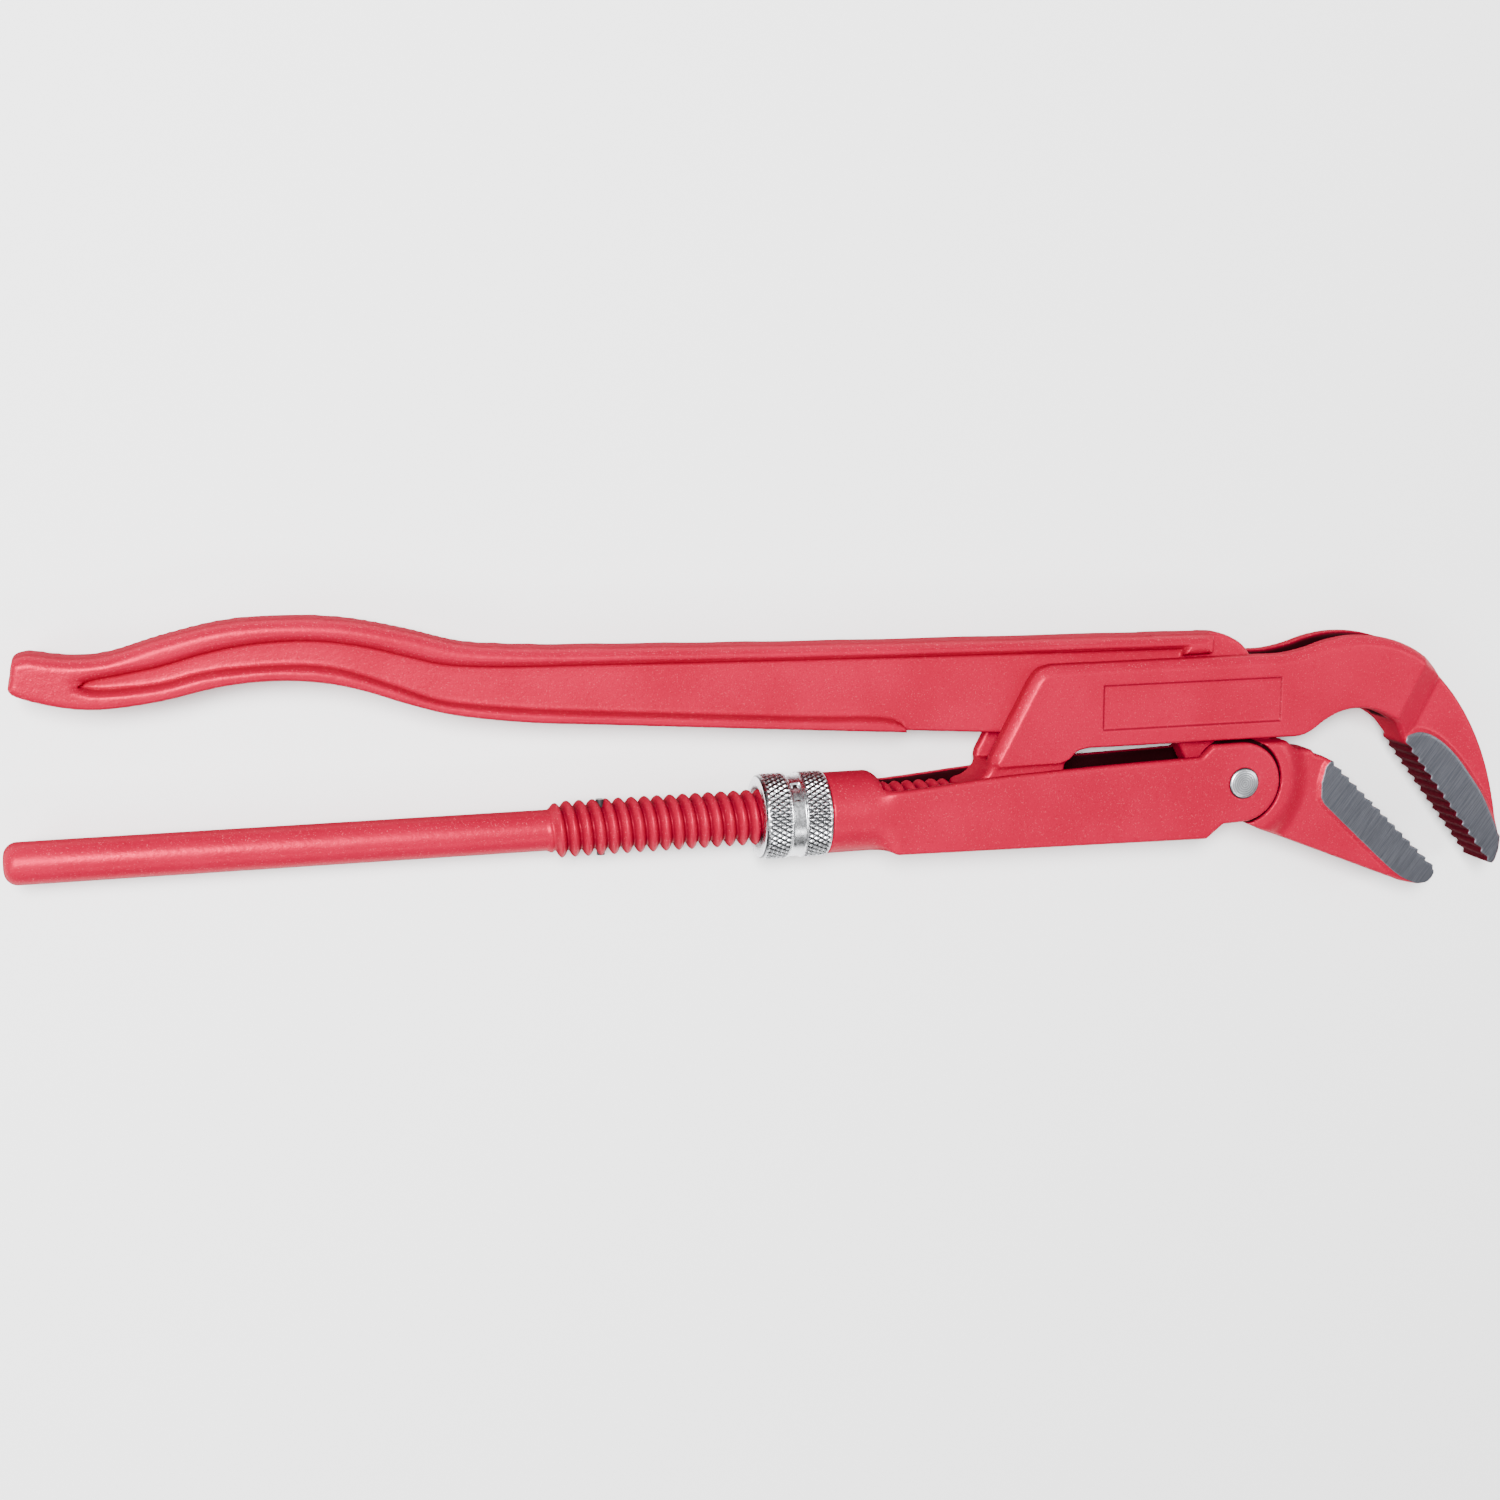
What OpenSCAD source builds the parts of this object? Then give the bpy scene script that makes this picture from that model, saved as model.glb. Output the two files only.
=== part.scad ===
// Swedish-pattern pipe wrench with 45 degree jaws, lying flat on its side.
// Working frame while drawing: X along the threaded rod towards the jaws, Y from the rod handle
// towards the beam handle, Z through the thickness. X = 0 is the nut's rear face, Y = Z = 0 is the
// rod's axis. The module placed() then puts the whole wrench on the ground, centred on the origin.

/* [Rod handle] */
// Diameter of the plain rod handle
rod_d = 10.8; // [9:0.1:13]
// Distance from the nut's rear face back to the end of the rod handle
rod_reach = 192.3; // [160:0.1:232]
// Radius of the rounded end of the rod handle
rod_end_r = 3.4; // [2:0.1:4]

/* [Thread] */
// Outer diameter of the adjusting thread
thread_d = 15; // [14:0.1:16]
// Pitch of the adjusting thread
thread_pitch = 3.5; // [2.9:0.1:4.2]
// Depth of the adjusting thread
thread_depth = 2.0; // [1.6:0.1:2.1]
// Length of thread behind the nut's rear face
thread_behind = 58.5; // [48:0.5:70]
// Depth of the relief in the rod where the thread runs out towards its handle
relief = 0.5; // [0.4:0.1:0.6]
// Length of thread ahead of the nut's rear face
thread_ahead = 54.5; // [45:0.5:56]
// Running clearance between the nut's thread and the rod's thread
thread_gap = 0.25; // [0.15:0.05:0.3]
// Diameter of the black cross pin that stops the nut
stop_pin_d = 2.2; // [1.8:0.1:2.6]
// Radial clearance of the cross pin in its hole
pin_gap = 0.02; // [0.01:0.01:0.05]
// Distance of the cross pin behind the nut's rear face
stop_pin_x = 42.7; // [36:0.1:44]

/* [Nut] */
// Wall of the nut outside its front bore
nut_wall = 1.65; // [1.5:0.05:2]
// Length of the nut
nut_len = 18.55; // [15.5:0.05:22.2]
// Length of the threaded rear part of the nut
nut_thread_len = 7; // [5.9:0.1:8.4]
// Width of the smooth groove between the knurled bands
nut_groove_w = 3.3; // [2.8:0.1:3.9]
// Depth of that groove
nut_groove_depth = 0.45; // [0.3:0.05:0.6]
// Distance from the rear face to the middle of the groove, where the wire ring sits
ring_x = 9.35; // [9.2:0.05:10.5]
// Wire diameter of the retaining ring
ring_wire_d = 1.4; // [1.2:0.05:1.5]
// Length round the nut of the slot that the ring is fed in through
ring_slot_len = 6; // [5:0.1:7]
// Width of that slot
ring_slot_w = 2.7; // [2.2:0.1:3.2]

/* [Sleeve] */
// Radial step from the nut down to the tube in front of it
tube_step = 0.6; // [0.4:0.1:0.8]
// Wall of the sleeve's neck inside the nut
neck_wall = 1.9; // [1.7:0.1:2.3]
// Radial running clearance of the neck in the nut
neck_gap = 0.05; // [0.02:0.01:0.08]
// Length of the round tube ahead of the nut
tube_len = 12.4; // [10.4:0.1:14.9]
// Radial clearance of the rod's thread in the sleeve's bore and channel
bore_gap = 0.5; // [0.4:0.1:0.6]
// Wall of the channel on each side
channel_wall = 2.7; // [2.3:0.1:3.2]
// Radius of the round end of the ears
ear_r = 11.3; // [9.6:0.1:11.8]
// Rivet's distance ahead of the nut's rear face
pivot_x = 138.5; // [138:0.5:142]
// Rivet's height above the rod's axis
pivot_y = 3.2; // [2.8:0.1:3.6]
// Radial gap between the ears and the shoulder that is raised round them
ear_gap = 1; // [0.8:0.1:1.6]
// Diameter of the rivet's shank
rivet_d = 7.6; // [6.4:0.1:9]
// Diameter of the rivet's heads
rivet_head_d = 8.9; // [7.5:0.1:10.6]
// Height of the rivet's heads
rivet_head_h = 0.8; // [0.6:0.1:0.9]
// Radial running clearance of the lever arm's eye on the rivet
eye_gap = 0.05; // [0.02:0.01:0.08]

/* [Hook arm] */
// Gap between the hook arm's body and the sleeve's ears
body_gap = 0.6; // [0.3:0.1:0.8]
// Thickness of the hook arm's body over its two cheeks
body_t = 18.4; // [17.6:0.1:19.2]
// Width of the slot between the cheeks
slot_w = 7.8; // [7.4:0.1:8.4]
// Distance the slot runs ahead of the rivet before the hook is solid
slot_ahead = 47.5; // [44:0.5:49]
// Depth of the plain panel sunk in the near cheek
panel_depth = 0.45; // [0.3:0.05:0.6]

/* [Jaws] */
// Thickness of both jaws beside their ground pads
jaw_t = 10.4; // [9.6:0.1:11]
// Thickness of both jaws over their ground pads
pad_t = 12.4; // [11.6:0.1:13.2]
// Pitch of the jaw teeth
tooth_pitch = 3.6; // [3:0.05:3.7]
// Height of a tooth's steep face
tooth_rise = 1.15; // [0.9:0.05:1.3]

/* [Lever arm] */
// Side clearance of the lever arm's web in the hook arm's slot
web_gap = 0.4; // [0.3:0.05:0.5]
// Width of the beam handle's flanges
flange_w = 14.4; // [12:0.1:17.3]
// Clearance of the eye from the end of the sleeve's channel
fork_gap = 1; // [0.8:0.1:1.4]
// Side clearance of the eye between the ears
eye_side_gap = 0.2; // [0.1:0.05:0.4]
// Distance from the nut's rear face back to the end of the beam handle
beam_reach = 188; // [156:0.5:224]

/* [Hidden] */
$fn = 64;
eps = 0.02;
red = [0.85, 0.16, 0.24];
bright = [0.82, 0.83, 0.85];

// ---- curves ----
// A smooth curve through the points p, with n steps from each to the next.
function at(p, i) = p[max(0, min(len(p) - 1, i))];
function smooth(p, n = 4) = concat(
    [for (i = [0 : len(p) - 2], s = [0 : n - 1])
        let (t = s / n, a = at(p, i - 1), b = at(p, i), c = at(p, i + 1), d = at(p, i + 2))
        0.5 * (2 * b + t * (c - a) + t * t * (2 * a - 5 * b + 4 * c - d)
            + t * t * t * (3 * b - a - 3 * c + d))],
    [p[len(p) - 1]]);
// Points of an arc about c, from angle a to angle b.
function arc(c, r, a, b, n = 12) = [for (i = [0 : n])
    let (w = a + (b - a) * i / n) c + r * [cos(w), sin(w)]];
// Points given from the rivet's station along the rod.
function head(p) = [for (q = p) q + [pivot_x, 0]];
function reversed(p) = [for (i = [len(p) - 1 : -1 : 0]) p[i]];
// n + 1 teeth along a line: each goes from its foot or tip by the vector step to the tooth's other corner.
function saw(start, angle, n, step) = [for (i = [0 : n], s = [0, 1])
    start + i * tooth_pitch * [cos(angle), sin(angle)] + s * step];

// ---- thread ----
// A right-hand helical ridge on a solid core, along X, whose crest stands thread_start past a whole number of
// pitches.
// It fades into its ends over one turn. grow widens it on every side.
THREAD_SIDES = 20;
THREAD_KNOTS = [-0.34, -0.12, 0.12, 0.34];
thread_start = 1.1;
function thread_turns(from, to) = floor((to - from) / thread_pitch) - 1;
module thread(from, to, r_root, r_crest, r_end, grow = 0) {
    n = THREAD_SIDES;
    turns = thread_turns(from, to);
    last = turns * n;
    first_turn = ceil((from - thread_start) / thread_pitch + 0.5);
    function station(turn) = thread_start + turn * thread_pitch;
    wide = grow / thread_pitch;
    knots = [THREAD_KNOTS[0] - wide, THREAD_KNOTS[1] - wide, THREAD_KNOTS[2] + wide, THREAD_KNOTS[3] + wide];
    radii = [r_root, r_crest, r_crest, r_root] + grow * [1, 1, 1, 1];
    function fade(i) = min(1, i / n, max(0, last + n - i) / n);
    function spot(i, k) =
        let (r = r_end + (radii[k] - r_end) * fade(i), a = 360 * i / n)
        [station(first_turn + i / n + knots[k]), r * cos(a), r * sin(a)];
    spots = concat(
        [for (i = [0 : last], k = [0 : 3]) spot(i, k)],
        [for (i = [last + 1 : last + n]) spot(i, 0)],
        [[station(first_turn + 0.5 + knots[0]), 0, 0], [station(first_turn + turns + 0.5 + knots[0]), 0, 0]]);
    function id(i, k) = k == 4 ? id(i + n, 0) : i <= last ? 4 * i + k : 4 * last + 3 + i - last;
    head = len(spots) - 2;
    tail = len(spots) - 1;
    polyhedron(spots, concat(
        [for (i = [0 : last - 1], k = [0 : 3], s = [0, 1])
            s == 0 ? [id(i, k), id(i, k + 1), id(i + 1, k + 1)] : [id(i, k), id(i + 1, k + 1), id(i + 1, k)]],
        [for (i = [0 : n - 1]) [head, id(i, 0), id(i + 1, 0)]],
        [for (k = [0 : 3]) [head, id(0, k + 1), id(0, k)]],
        [for (i = [0 : n - 1]) [tail, id(last + i + 1, 0), id(last + i, 0)]],
        [for (k = [0 : 3]) [tail, id(last, k), id(last, k + 1)]]));
}
// A round bar along X between two stations.
module bar(r, from, to) translate([from, 0, 0]) rotate([0, 90, 0]) cylinder(r = r, h = to - from);
// A profile of points [x, radius] turned about X.
module turned(profile) rotate([0, 90, 0]) rotate_extrude() polygon([for (p = profile) [p[1], p[0]]]);

// ---- forged plates ----
// A plate whose faces step in towards the outside, as a forging's rounded edge does. full is the whole
// thickness, straight the part of it with upright sides, edge the inset at the face, lean moves the
// face's outline so that one side slopes more than the other.
FORGE_STEPS = 3;
module forged(full, straight, edge, lean = [0, 0]) {
    for (i = [0 : FORGE_STEPS]) {
        a = 90 * i / FORGE_STEPS;
        inset = edge * (1 - cos(a));
        linear_extrude(straight + (full - straight) * sin(a), center = true)
            translate(lean * (1 - cos(a))) offset(delta = -inset) children();
    }
}

// ---- derived sizes ----
pivot = [pivot_x, pivot_y];
rod_r = rod_d / 2;
thread_r = thread_d / 2;
root_r = thread_r - thread_depth;
shank_r = root_r + 0.4;
bore_r = thread_r + bore_gap;
channel_w = 2 * bore_r;
sleeve_half = bore_r + channel_wall;
tube_x = nut_len + 0.1;
neck_x = nut_thread_len + 0.2;
neck_r = bore_r + neck_wall;
nut_bore_d = 2 * (neck_r + neck_gap);
nut_d = nut_bore_d + 2 * nut_wall;
tube_d = nut_d - 2 * tube_step;
web_t = slot_w - 2 * web_gap;
eye_half = bore_r - eye_side_gap;
eye_r = ear_r - 0.3;
milled_r = ear_r + ear_gap;
body_bottom = pivot_y + ear_r + body_gap;

// ---- outlines ----
// The hook arm's body and hook in side view. The mouth's roof, the body's bottom and its left end follow
// the sleeve's ears; the hook's back is one free curve.
HOOK_TEETH = 12;
hook_tooth_top = [pivot_x + 55.4, 9.1];
hook_tooth_angle = -51.8;
hook_teeth = saw(hook_tooth_top, hook_tooth_angle, HOOK_TEETH, tooth_rise * [-0.47, -0.9]);
hook_back = smooth(head([[4.5, 38.8], [12.5, 38.8], [19.5, 40], [26.5, 42], [34.5, 43], [43.5, 42.2],
    [51, 39.8], [57.5, 36], [64.5, 30], [71, 22.6], [76.7, 13.6], [81.2, 3.4], [84.3, -7.5], [86, -17], [85.8, -22.8]]));
mouth_roof = smooth(head([[51.8, 13.4], [49.1, 17.2], [44.5, 20.1], [40, 21.7], [35.3, 22.2], [30.1, 21.3],
    [25.5, 19.1], [21.9, 16.6], [18.3, 15.2], [13.5, body_bottom]]));
hook_outline = concat(
    [[66, 10.9], [64.2, 12.3], [64.6, 14.2], [69, 22.4], [75.2, 34]],
    smooth([[76.2, 35.6], [78.2, 37.6], [81.6, 38.6]]),
    hook_back,
    smooth(head([[84.8, -25.8], [83.9, -26.7], [82.7, -26.4]]), 2),
    reversed(hook_teeth),
    head([[53.1, 10.8]]),
    mouth_roof,
    smooth([[92, body_bottom], [89, body_bottom - 0.8], [86.8, 12.2], [84, 11.2]]));

// Ground pad of the hook: its round inner corner and its back edge.
hook_pad = concat(
    smooth(head([[46.5, 0], [52.5, 9.4], [53.2, 12], [55.1, 13.5], [59, 13.7], [64, 11.4], [69.6, 6.6],
        [74.7, 0.4], [79.1, -5.6], [82.7, -12.4], [85.5, -18]])),
    head([[89.5, -20], [89.5, -32], [66.5, -32]]));

// The lower jaw in side view, from the eye to the tip.
LOWER_TEETH = 13;
lower_tooth_top = [pivot_x + 30.6, 6.8];
lower_tooth_angle = -44;
lower_teeth = saw(lower_tooth_top, lower_tooth_angle, LOWER_TEETH, tooth_rise * [-0.13, -0.9]);
jaw_top = head([[-0.5, pivot_y + eye_r - 0.1], [11.5, pivot_y + eye_r - 0.3], [14.6, 13.9], [17, 12.2],
    [19.4, 11.1], [24.2, 10.3], [25.2, 9], [28.2, 8.2]]);
jaw_bottom = concat(
    smooth(head([[64.7, -27.6], [64.2, -29.2], [62.4, -30.8], [58.9, -31.1], [54.3, -30.1]]), 3),
    head([[21.5, -16.9], [7.5, -11.3], [-0.5, -7.6]]));
jaw_outline = concat(jaw_top, lower_teeth, jaw_bottom);
lower_pad = concat(
    head([[31.9, 8], [29.7, 7.2], [28.1, 5.2], [27, 0.8], [27.1, -3.6]]),
    smooth(head([[28.1, -5.4], [39.5, -16], [51.2, -26.6], [56.9, -30.2]]), 3),
    head([[65.5, -34], [73.5, -28]]));

// Beam handle: its top edge, bottom edge and, inside them, the edges of the sunk web.
beam_end = -beam_reach;
function tail(p) = [for (q = p) q + [beam_end, 0]];
beam_top = smooth(concat(
    tail([[1.4, 51.7], [5, 52.6], [13, 51.3], [23, 51.5], [36, 55.1], [51, 58.3], [66, 59], [81, 57.9],
        [96, 54.6], [109, 50.9], [120, 49.6], [133, 48.8], [146, 48.4]]),
    [[12, 46.9]], head([[-69.5, 45.9], [-9.5, 45]])));
beam_bottom = smooth(concat(
    tail([[0, 44.4], [2, 42.4], [11, 39.6], [21, 38.4], [35, 39.7], [50, 42.7], [63, 43.6], [75, 42.5],
        [85, 40], [95, 36.4], [105, 33.3], [115, 31.4], [128, 29.7], [146, 28.3]]),
    [[12, 24.1]], head([[-68.5, 19.8], [-26.5, 16.6]])));
well_top = smooth(concat(
    tail([[16, 44.3], [19.4, 45.4], [27, 46.6], [36, 48.2], [46, 50.8], [56, 52.5], [66, 53.1], [76, 52.6],
        [86, 50.8], [96, 48], [105, 45.6], [116, 44.5], [130, 44], [146, 43.7]]),
    [[12, 42.6]], head([[-69.5, 41.7], [-17, 41]])));
well_bottom = smooth(concat(
    tail([[16, 44.3], [21.4, 43], [35, 43.8], [45, 46], [55, 47], [68, 47.1], [79, 45.6], [92, 41], [103, 36.7],
        [114, 34.7], [128, 33], [146, 31.5]]),
    [[10, 27.5], [37, 25.5], [41, 19]]));
neck_right = smooth(head([[-9.5, 45.1], [-5.5, 45], [-1.5, 43.6], [2.1, 41.3], [4.9, 37.5], [7.3, 31],
    [9.1, 23], [10.5, 16.6], [11.5, pivot_y + eye_r - 0.3]]));
neck_left = smooth(head([[-26.5, 16.6], [-20.5, 15.6], [-16.5, 13.4], [-14.5, 9.8], [-10.9, 4]]));
web_outline = concat(neck_right, head([[5.5, 0], [0, pivot_y - eye_r + 1], [-8.5, 0]]),
    reversed(neck_left), reversed(beam_bottom), beam_top);
flange_outline = concat(head([[-8.5, 45.1], [-8.5, 39.3], [-16.9, 39.1], [-16.9, 20]]),
    reversed(beam_bottom), beam_top);

// The sleeve's side wall with its ear.
fork_run = 1.4;
floor_end = pivot_x - eye_r - fork_gap + fork_run;
blend_x = tube_x + 17.6;
wall_top = bore_r - 1.5;
wall_bottom = -bore_r - 2.9;
wall_outline = concat(
    [[blend_x, wall_bottom], [floor_end, wall_bottom - 1.4]],
    [[pivot_x - 5.6, pivot_y - ear_r - 0.2]],
    arc(pivot, ear_r, -90, 90, 24),
    [[pivot_x - 9.4, pivot_y + ear_r - 0.1], [pivot_x - 13, pivot_y + ear_r - 3.4]],
    smooth([[97, 10.3], [66, 8.9], [48, 7.4], [blend_x, wall_top]]));

// ---- placing ----
top_y = max([for (p = beam_top) p[1]]);
low_y = min([for (p = jaw_bottom) p[1]]);
far_x = max([for (p = hook_back) p[0]]);
module placed() translate([(max(rod_reach, beam_reach) - far_x) / 2, -(top_y + low_y) / 2,
    max(nut_d / 2, sleeve_half + rivet_head_h)]) children();

// ---- hook arm ----
bridge_r = bore_r - 0.7;
bridge_x = 57;
bridge_end = 85;
slot_floor = 12.4;
// Half-thickness of the hook arm along the direction from the crease out to the jaw's tip.
module hook_thickness() {
    crease = [pivot_x + 48.1, 18.6];
    taper_len = 9;
    translate(crease) rotate(-28) rotate([90, 0, 0]) linear_extrude(140, center = true)
        polygon([[-160, -body_t], [0, -body_t / 2], [taper_len, -jaw_t / 2], [90, -jaw_t / 2],
            [90, jaw_t / 2], [taper_len, jaw_t / 2], [0, body_t / 2], [-160, body_t]]);
}
module hook_body() {
    intersection() {
        forged(body_t, body_t * 0.42, 1.5, [0.3, -0.9]) polygon(hook_outline);
        hook_thickness();
    }
    linear_extrude(pad_t, center = true) intersection() {
        polygon(hook_outline);
        polygon(hook_pad);
    }
}
module bridge() {
    linear_extrude(2 * bridge_r, center = true)
        polygon(concat(
            [[bridge_x, 0], [bridge_x + 0.2, 5.8]],
            smooth([[bridge_x + 1, 6.6], [bridge_x + 4, 7.6], [bridge_x + 6.6, 10], [bridge_x + 8.8, 13.6],
                [bridge_x + 10.6, slot_floor + 4.6]], 3),
            [[bridge_end + 1.6, slot_floor + 2], [bridge_end, 0]]));
    translate([bridge_x, 0, 0]) rotate([0, 90, 0]) cylinder(r1 = shank_r, r2 = bridge_r, h = 4);
    bar(bridge_r, bridge_x + 4, bridge_end);
}
module hook_arm() color(red) placed() difference() {
    union() {
        difference() {
            union() {
                hook_body();
                bridge();
            }
            // the slot between the cheeks, open at the top, the left end and the mouth
            translate([0, slot_floor, -slot_w / 2]) cube([pivot_x + slot_ahead, 60, slot_w]);
            // the plain sunk panel
            translate([pivot_x - 42.3, 20, body_t / 2 - panel_depth]) cube([53.8, 12.6, 5]);
        }
        // plain rod handle with its rounded end, and the plain shank ahead of the thread
        turned(concat([[-rod_reach, 0]],
            [for (a = [0 : 15 : 90])
                [-rod_reach + rod_end_r * (1 - cos(a)), rod_r - rod_end_r + rod_end_r * sin(a)]],
            [[-thread_behind, rod_r], [-thread_behind, rod_r - relief],
                [-thread_behind + 2 * thread_pitch, rod_r - relief], [-thread_behind + 2 * thread_pitch, 0]]));
        bar(shank_r, thread_ahead - 2 * thread_pitch, bridge_x + 1);
        thread(-thread_behind, thread_ahead, root_r, thread_r, rod_r - relief - 0.1);
    }
    // hole for the stop pin
    translate([-stop_pin_x, 0, 0]) rotate([90, 0, 0])
        cylinder(d = stop_pin_d + 2 * pin_gap, h = 2 * thread_d, center = true);
}

// ---- lever arm ----
// Half-thickness of the lower jaw by distance from the rivet: milled flat under the ears, a raised
// shoulder round them, then the thinner jaw.
module jaw_thickness() {
    shoulder_r = milled_r + 3.2;
    jaw_r = milled_r + 11;
    translate(pivot) rotate_extrude() polygon([[0, -eye_half], [milled_r, -eye_half], [milled_r, -body_t / 2],
        [shoulder_r, -body_t / 2], [jaw_r, -jaw_t / 2], [90, -jaw_t / 2], [90, jaw_t / 2], [jaw_r, jaw_t / 2],
        [shoulder_r, body_t / 2], [milled_r, body_t / 2], [milled_r, eye_half], [0, eye_half]]);
}
module lower_jaw() {
    intersection() {
        forged(body_t, body_t * 0.5, 0.9) polygon(jaw_outline);
        jaw_thickness();
    }
    linear_extrude(pad_t, center = true) intersection() {
        polygon(jaw_outline);
        polygon(lower_pad);
    }
}
module lever_arm() color(red) placed() difference() {
    union() {
        linear_extrude(web_t, center = true) polygon(web_outline);
        forged(flange_w, web_t, 1.6) difference() {
            polygon(flange_outline);
            polygon(concat(well_top, head([[-17, 41], [-17, 20], [-26.5, 0]]), [[41, 0]],
                reversed(well_bottom)));
        }
        translate(pivot) cylinder(r = eye_r, h = 2 * eye_half, center = true);
        lower_jaw();
    }
    translate(pivot) cylinder(r = rivet_d / 2 + eye_gap, h = 60, center = true);
}

// ---- sleeve ----
module sleeve() color(red) placed() difference() {
    union() {
        bar(neck_r, neck_x, tube_x + 1);
        bar(tube_d / 2, tube_x, tube_x + tube_len);
        // the round tube blends into the channel's square section
        hull() {
            bar(tube_d / 2, tube_x + tube_len - 1, tube_x + tube_len);
            for (y = [wall_bottom + wall_edge, wall_top - wall_edge], z = [-1, 1])
                translate([blend_x, y, z * (sleeve_half - wall_edge)]) rotate([0, 90, 0])
                    cylinder(r = wall_edge, h = 0.2, $fn = 16);
        }
        forged(2 * sleeve_half, 2 * (sleeve_half - wall_edge), wall_edge) polygon(wall_outline);
    }
    bar(bore_r, 0, floor_end + 40);
    // the channel, open towards the beam handle
    translate([tube_x + tube_len + 2.4, 0, -bore_r]) cube([200, 40, channel_w]);
    // full-width fork between the ears
    translate([floor_end - fork_run, -40, -bore_r]) cube([60, 80, channel_w]);
    // groove for the retaining ring
    ring_groove();
    translate(pivot) cylinder(d = rivet_d, h = 60, center = true);
}
ring_play = 0.1;
wall_edge = 1.2;
module ring_groove() difference() {
    bar(neck_r + 5, ring_x - ring_wire_d / 2 - ring_play, ring_x + ring_wire_d / 2 + ring_play);
    bar(nut_bore_d / 2 - ring_wire_d / 2 - ring_play, 0, tube_x);
}

// ---- adjusting nut ----
chamfer = 0.9;
groove_r = nut_d / 2 - nut_groove_depth;
// Direction of the ring's slot, counted from straight up off the ground towards the beam handle
slot_angle = 46;
module adjusting_nut() color(bright) placed() difference() {
    turned([[0, 0], [0, nut_d / 2 - chamfer], [chamfer, nut_d / 2],
        [ring_x - nut_groove_w / 2 - nut_groove_depth, nut_d / 2], [ring_x - nut_groove_w / 2, groove_r],
        [ring_x + nut_groove_w / 2, groove_r], [ring_x + nut_groove_w / 2 + nut_groove_depth, nut_d / 2],
        [nut_len - chamfer / 2, nut_d / 2], [nut_len, nut_d / 2 - chamfer / 2], [nut_len, 0]]);
    bar(nut_bore_d / 2, nut_thread_len, nut_len + 1);
    // countersunk entry of the thread
    translate([-eps, 0, 0]) rotate([0, 90, 0])
        cylinder(r1 = thread_r + 1.1, r2 = root_r, h = thread_depth + 1.1);
    thread(-4 * thread_pitch, 6 * thread_pitch, root_r, thread_r, root_r, thread_gap);
    // groove for the retaining ring
    bar(nut_bore_d / 2 + ring_wire_d / 2, ring_x - ring_wire_d / 2, ring_x + ring_wire_d / 2);
    translate([ring_x, 0, 0]) rotate([-slot_angle, 0, 0])
        translate([-ring_slot_w / 2, -ring_slot_len / 2, nut_bore_d / 2 - 1]) cube([ring_slot_w, ring_slot_len, 10]);
}

// ---- small pieces ----
// The ring's open ends lie opposite its slot.
module retaining_ring() color(bright) placed() translate([ring_x, 0, 0]) rotate([0, 90, 0])
    rotate(slot_angle + 100) rotate_extrude(angle = 340) translate([nut_bore_d / 2, 0]) circle(d = ring_wire_d);

module pivot_rivet() color(bright) placed() translate(pivot) {
    cylinder(d = rivet_d, h = 2 * sleeve_half, center = true);
    for (s = [0, 1]) mirror([0, 0, s]) translate([0, 0, sleeve_half]) rotate_extrude()
        polygon([[0, 0], [rivet_head_d / 2, 0], [rivet_head_d / 2 - 0.1, rivet_head_h * 0.45],
            [rivet_head_d / 2 - 0.6, rivet_head_h * 0.8], [rivet_head_d / 4, rivet_head_h * 0.97],
            [0, rivet_head_h]]);
}

module stop_pin() color([0.1, 0.1, 0.11]) placed() translate([-stop_pin_x, 0, 0]) rotate([90, 0, 0])
    cylinder(d = stop_pin_d, h = thread_d, center = true);

hook_arm();
lever_arm();
sleeve();
adjusting_nut();
retaining_ring();
pivot_rivet();
stop_pin();
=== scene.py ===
import math

import bpy
import numpy as np
from mathutils import Matrix, Vector


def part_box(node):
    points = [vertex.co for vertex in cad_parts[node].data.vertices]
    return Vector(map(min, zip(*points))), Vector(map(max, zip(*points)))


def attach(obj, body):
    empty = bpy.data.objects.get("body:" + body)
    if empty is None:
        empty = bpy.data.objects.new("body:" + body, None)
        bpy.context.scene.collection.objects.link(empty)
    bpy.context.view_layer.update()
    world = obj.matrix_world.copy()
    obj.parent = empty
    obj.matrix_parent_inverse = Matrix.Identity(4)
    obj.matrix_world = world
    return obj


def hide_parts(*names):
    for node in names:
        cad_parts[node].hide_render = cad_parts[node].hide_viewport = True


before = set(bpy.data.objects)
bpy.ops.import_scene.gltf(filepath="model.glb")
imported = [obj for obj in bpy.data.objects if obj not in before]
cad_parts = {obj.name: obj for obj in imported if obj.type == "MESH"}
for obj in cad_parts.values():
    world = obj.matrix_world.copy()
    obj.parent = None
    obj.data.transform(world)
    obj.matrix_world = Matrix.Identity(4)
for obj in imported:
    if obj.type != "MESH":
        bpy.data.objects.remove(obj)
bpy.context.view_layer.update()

MM = 0.001


# ---- places taken from the frame ----

def middle(node):
    lo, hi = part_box(node)
    return (lo + hi) / 2


# Drawing frame in millimetres: x along the rod from the nut's rear face, y towards the beam handle,
# z through the thickness. The rod's axis is y = z = 0.
ORIGIN = Vector((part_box("adjusting_nut")[0].x, middle("adjusting_nut").y, middle("adjusting_nut").z))
PIVOT = (middle("pivot_rivet") - ORIGIN) / MM


def box_mm(node):
    lo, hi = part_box(node)
    return (lo - ORIGIN) / MM, (hi - ORIGIN) / MM


def triangles_mm(node):
    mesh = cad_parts[node].data
    mesh.calc_loop_triangles()
    co = np.empty(len(mesh.vertices) * 3)
    mesh.vertices.foreach_get("co", co)
    tri = np.empty(len(mesh.loop_triangles) * 3, np.int32)
    mesh.loop_triangles.foreach_get("vertices", tri)
    return ((co.reshape(-1, 3) - np.array(ORIGIN)) / MM)[tri.reshape(-1, 3)]


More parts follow.
